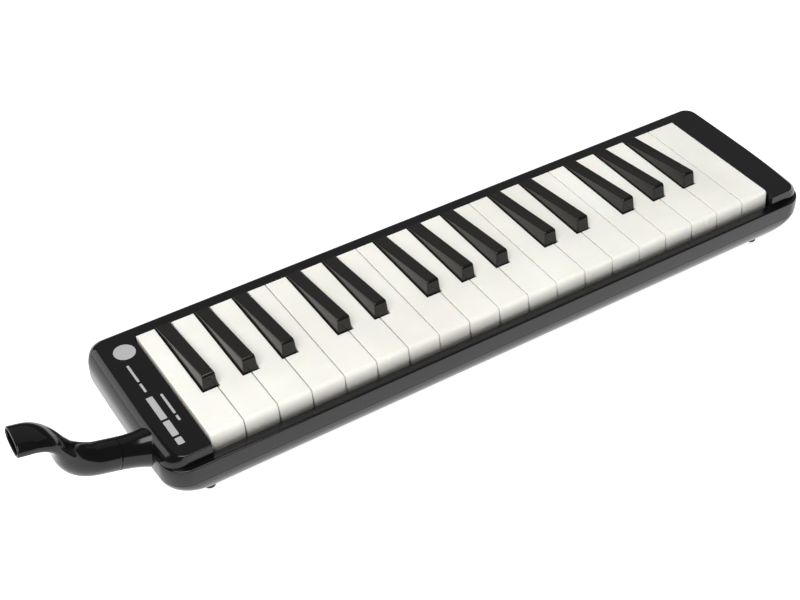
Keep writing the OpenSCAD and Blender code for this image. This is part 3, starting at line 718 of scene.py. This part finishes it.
def bar(cx, top_y, w, l, r=0.45):
    """Flat bar with small round corners, long way along y."""
    pts = []
    for sx, sy, start in ((1, 1, 0), (-1, 1, 90), (-1, -1, 180), (1, -1, 270)):
        for i in range(6):
            a = math.radians(start + 18 * i)
            x = cx + sx * (w / 2 - r) + r * math.cos(a)
            y = top_y - l / 2 + sy * (l / 2 - r) + r * math.sin(a)
            pts.append((x, y))
    return loft([[mm(x, y, z) for x, y in pts] for z in (PRINT_Z, PRINT_Z + LIFT)])


marks = [post(-9.3, 79.3, PRINT_Z, PRINT_Z + LIFT, 5.9, 96)]
for cx, top_y, width, lengths in (
    (-12.4, 69.0, 1.3, (14.0, 7.0)),
    (-12.9, 42.0, 3.6, (18.0, 11.5, 5.0)),
    (-6.6, 41.0, 1.3, (16.0, 4.0)),
):
    for length in lengths:
        marks.append(bar(cx, top_y, width, length))
        top_y -= length + 1.6
v, f = merged(marks)
marks = new_object("cheek_marks", v, f)
marks.data.materials.append(PRINT)
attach(marks, "case")

# ---- Mouthpiece ----

PATH_LEN = 63.0
STRAIGHT_END, RISE_START, RISE_END, BEND_END = 10, 31.5, 38.5, 56
START_ANGLE, RISE_ANGLE, BEAK_ANGLE = 16.0, 68.0, 12.0
BEAK_W, BEAK_T = 20.0, 8.0
TUBE_WALL = 2.4
BORE_R = 4.6


def path_angle(s):
    """Slope of the mouthpiece's centre line, in degrees above level, at distance s from its joint."""
    if s < STRAIGHT_END:
        return START_ANGLE
    if s < RISE_START:
        return START_ANGLE + (RISE_ANGLE - START_ANGLE) * (s - STRAIGHT_END) / (RISE_START - STRAIGHT_END)
    if s < RISE_END:
        return RISE_ANGLE
    if s < BEND_END:
        return RISE_ANGLE - (RISE_ANGLE - BEAK_ANGLE) * (s - RISE_END) / (BEND_END - RISE_END)
    return BEAK_ANGLE


def path(steps):
    step = PATH_LEN / steps
    p = NECK + AXIS * NECK_OUT
    out = [(0.0, p.copy(), math.radians(START_ANGLE))]
    for i in range(steps):
        a = math.radians(path_angle((i + 0.5) * step))
        p = p + step * Vector((-math.cos(a), 0, math.sin(a)))
        out.append(((i + 1) * step, p.copy(), math.radians(path_angle((i + 1) * step))))
    return out


def to_beak(s):
    return smooth(30, PATH_LEN - 4, s)


def section(s, p, a, t, sides=64, back=0.0):
    half_w = TUBE_R + (BEAK_W / 2 - TUBE_R) * to_beak(s) - t
    half_t = TUBE_R + (BEAK_T / 2 - TUBE_R) * smooth(16, 45, s) - t
    skew = 0.06 * smooth(40, PATH_LEN, s)
    ring = []
    power = 1 - 0.22 * to_beak(s)
    for j in range(sides):
        q = 2 * math.pi * j / sides
        c, d = math.cos(q), math.sin(q)
        v = half_w * math.copysign(abs(c) ** power, c)
        u = half_t * math.copysign(abs(d) ** power, d)
        x = p.x + u * math.sin(a) + skew * v + back * math.cos(a)
        ring.append(mm(x, p.y + v, p.z + u * math.cos(a) - back * math.sin(a)))
    return ring


def wall_at(s):
    return TUBE_WALL - to_beak(s)


def tube_mesh():
    points = path(66)
    s0, p0, a0 = points[0]
    s1, p1, a1 = points[-1]
    rings = []
    # Small chamfer at the joint with the neck
    rings.append(section(s0, p0, a0, 0.45))
    rings.append(section(s0, p0, a0, 0.1, back=-0.12))
    for s, p, a in points[1:-2]:
        rings.append(section(s, p, a, 0.0))
    # Rounded lip at the beak
    lip = wall_at(s1) / 2
    for k in range(0, 9):
        q = math.radians(90 - 180 * k / 8)
        rings.append(section(s1, p1, a1, lip - lip * math.sin(q), back=lip - lip * math.cos(q)))
    for s, p, a in reversed(points[1:-2]):
        rings.append(section(s, p, a, wall_at(s)))
    rings.append(section(s0, p0, a0, TUBE_WALL))
    return hollow_loft(rings)


v, f = tube_mesh()
mouthpiece = new_object("mouthpiece_tube", v, f, smooth=True)
SPIGOT_R, GROOVE_R = 5.9, 5.05
spigot_profile = [
    (-15, SPIGOT_R - 0.3), (-14.8, SPIGOT_R), (-10.05, SPIGOT_R), (-10.0, GROOVE_R), (-8.05, GROOVE_R),
    (-8.0, SPIGOT_R), (3.0, SPIGOT_R), (3.0, BORE_R), (-15, BORE_R),
]
rings = [ring_at(NECK + AXIS * (NECK_OUT + a), SIDE, AXIS.cross(SIDE), r, 64) for a, r in spigot_profile]
v, f = hollow_loft(rings)
spigot = new_object("mouthpiece_spigot", v, f)
soften(mouthpiece, 0)
soften(spigot, 0.1)
piece(mouthpiece, "mouthpiece_body", "mouthpiece_black", "mouthpiece")
piece(spigot, "mouthpiece_body", "mouthpiece_black")

# ---- Neck socket: the tube that takes the spigot, and the duct into the air chamber ----

tube = [(-12, SOCKET_R), (NECK_OUT - 0.5, SOCKET_R), (NECK_OUT - 0.25, SOCKET_R - 0.25)]
v, f = lathe(NECK, AXIS, tube, 64)
socket = new_object("neck_socket", v, f)
cut(socket, [box_shape((-19, INLET_Y0 - 1.5, -24), (-7.1, INLET_Y1 + 1.5, -10))], "UNION")
cut(socket, [box_shape((-14.5, INLET_Y0 - 1.5, -29.5), (-7.1, INLET_Y1 + 1.5, -23.5))], "UNION")
cut(socket, [box_shape((-14.5, 20.5, -29.5), (-4, INLET_Y1 + 1.5, -25))], "UNION")
cut(socket, [lathe(NECK, AXIS, [(NECK_OUT - 16, 6.0), (NECK_OUT + 5, 6.0)], 64)])
cut(socket, [lathe(NECK, AXIS, [(-13, BORE_R), (7, BORE_R)], 48)])
cut(socket, [box_shape((-17.5, INLET_Y0, -22.5), (-8.6, INLET_Y1, -12))])
cut(socket, [box_shape((-13, INLET_Y0, -28), (-8.6, INLET_Y1, -12.5))])
cut(socket, [box_shape((-13, 22, -28), (-3, INLET_Y1, -26))])
clean(socket)
soften(socket, 0.15, 2, 40)
piece(socket, "case", "case_black", "mouth_socket")

# ---- Screws, strap and spring ----


def pan_head(x, y, z, r, h, shank_r, shank):
    """Domed head below its seat at z, shank above; screws() cuts its cross recess."""
    profile = [(0, r * 0.62), (h * 0.12, r * 0.8), (h * 0.35, r * 0.95), (h * 0.7, r), (h, r), (h, shank_r)]
    pitch, root = 0.35, 0.84
    for i in range(int((shank - 1) / pitch)):
        profile.append((h + 0.5 + pitch * i, shank_r * (1.0 if i % 2 else root)))
    profile += [(h + shank, shank_r * 0.5)]
    return lathe((x, y, z - h), (0, 0, 1), profile, 32)


def screws(name, places, z, r, h, shank_r, shank, node):
    v, f = merged([pan_head(x, y, z, r, h, shank_r, shank) for x, y in places])
    o = new_object(name, v, f)
    depth = h * 0.55
    slots = []
    for x, y in places:
        for w, l in ((r * 0.16, r * 0.6), (r * 0.6, r * 0.16)):
            slots.append(box_shape((x - w, y - l, z - h - 0.5), (x + w, y + l, z - h + depth)))
    cut(o, slots[0::2])
    cut(o, slots[1::2])
    soften(o, 0.05, 2, 40)
    piece(o, "case", "screw_steel", node)


screws("case_screw_set", SCREWS, SCREW_SEAT, 2.8, 1.8, 1.45, 17, "case_screws")
STRAP_X = [MID - 112, MID + 112]
STRAP_Y = 46
strap_places = [(x, STRAP_Y) for x in STRAP_X]
screws("strap_screw_set", strap_places, BOTTOM - 3.0, 2.6, 1.2, 1.2, 7, "strap_screws")

# Strap: a woven band that leaves its clamps in soft bends
SAG, STRAP_THICK, STRAP_HALF, STRAP_EDGE = 3.4, 1.74, 12.95, 0.86
STRAP_STEPS = 150


def strap_ring(x):
    top = BOTTOM - 0.02 - SAG * (1 - smooth(73, 101, abs(x - MID)))
    bottom = top - STRAP_THICK
    y_first = STRAP_Y - STRAP_HALF + STRAP_EDGE
    y_last = STRAP_Y + STRAP_HALF - STRAP_EDGE
    width = 2 * STRAP_HALF - 2 * STRAP_EDGE

    def edge(y, start):
        for k in range(7):
            q = start + math.pi * k / 6
            ring.append(mm(x, y + STRAP_EDGE * math.cos(q), (top + bottom) / 2 + STRAP_EDGE * math.sin(q)))

    ring = []
    edge(y_first, math.pi / 2)
    for k in range(1, 16):
        ribs = 0.05 * math.sin(math.pi * k / 16 * 6) ** 2
        ring.append(mm(x, y_first + width * k / 16, bottom + 0.01 + ribs))
    edge(y_last, -math.pi / 2)
    for k in range(15, 0, -1):
        ring.append(mm(x, y_first + width * k / 16, top))
    return ring


x_first, x_last = STRAP_X[0] - 9, STRAP_X[1] + 9
rings = [strap_ring(x_first + (x_last - x_first) * i / STRAP_STEPS) for i in range(STRAP_STEPS + 1)]
v, f = loft(rings)
strap = new_object("hand_strap_band", v, f, smooth=True)
piece(strap, "case", "strap_web", "hand_strap")

# Return spring of the water release as one helix
turns, wire, coil_r = 4.6, 0.34, 3.0
x_start, x_end = 393.85 - 18 + 1.6 + 0.36, 393.85 - 7 - 0.36
rings = []
steps = int(turns * 28)
for i in range(steps + 1):
    t = i / steps
    q = 2 * math.pi * turns * t
    out = Vector((0, math.cos(q), math.sin(q)))
    centre = Vector((x_start + (x_end - x_start) * t, DRAIN_Y, DRAIN_Z)) + out * coil_r
    rings.append(ring_at(centre, out, Vector((1, 0, 0)), wire, 10))
v, f = loft(rings)
spring = new_object("drain_spring_coil", v, f, smooth=True)
piece(spring, "case", "spring_steel", "drain_spring")
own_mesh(spring)

# ---- Camera, floor and light ----

bpy.context.scene.view_settings.view_transform = "Standard"
camera_data = bpy.data.cameras.new("camera")
camera_data.sensor_width = 36.0
camera_data.lens = 65.7805
camera_data.clip_start = 0.01
camera_data.clip_end = 30.0
CAMERA_PLACE = mm(-185.69, -466.893, 518.379)
HEADING, DOWNWARD, ROLL = -32.382, 41.122, -0.207
camera = bpy.data.objects.new("camera", camera_data)
bpy.context.scene.collection.objects.link(camera)
camera.matrix_world = (
    Matrix.Translation(CAMERA_PLACE)
    @ Matrix.Rotation(math.radians(HEADING), 4, "Z")
    @ Matrix.Rotation(math.radians(90 - DOWNWARD), 4, "X")
    @ Matrix.Rotation(math.radians(ROLL), 4, "Z")
)
bpy.context.scene.camera = camera

floor = new_object("floor", [(-6, -6, 0), (6, -6, 0), (6, 6, 0), (-6, 6, 0)], [(0, 1, 2, 3)])
ground = bpy.data.materials.new("pale_floor")
ground.use_nodes = True
shader = ground.node_tree.nodes["Principled BSDF"]
shader.inputs["Base Color"].default_value = (0.5, 0.5, 0.5, 1)
shader.inputs["Roughness"].default_value = 0.9
shader.inputs["Specular IOR Level"].default_value = 0.0
shader.inputs["Emission Color"].default_value = (1, 1, 1, 1)
shader.inputs["Emission Strength"].default_value = 0.95
floor.data.materials.append(ground)


def softbox(name, place, aim, size, power, size_y=None):
    data = bpy.data.lights.new(name, "AREA")
    data.shape = "RECTANGLE"
    data.size = size
    data.size_y = size_y or size
    data.energy = power
    o = bpy.data.objects.new(name, data)
    bpy.context.scene.collection.objects.link(o)
    o.location = place
    o.rotation_euler = (Vector(aim) - Vector(place)).to_track_quat("-Z", "Y").to_euler()


softbox("key_light", (-0.9, -0.7, 1.5), (0, 0, 0), 1.2, 25)
softbox("top_light", (0.0, -0.1, 2.0), (0, 0, 0), 1.0, 18)
softbox("back_card", (-1.5, 1.1, 0.5), (-0.2, 0, 0.05), 1.6, 9, 0.9)
softbox("rear_card", (0.62, 0.98, 1.05), (0, 0, 0), 1.7, 1.1, 1.1)

world = bpy.data.worlds.new("studio")
bpy.context.scene.world = world
world.use_nodes = True
world.node_tree.nodes["Background"].inputs["Color"].default_value = (1, 1, 1, 1)
world.node_tree.nodes["Background"].inputs["Strength"].default_value = 0.09
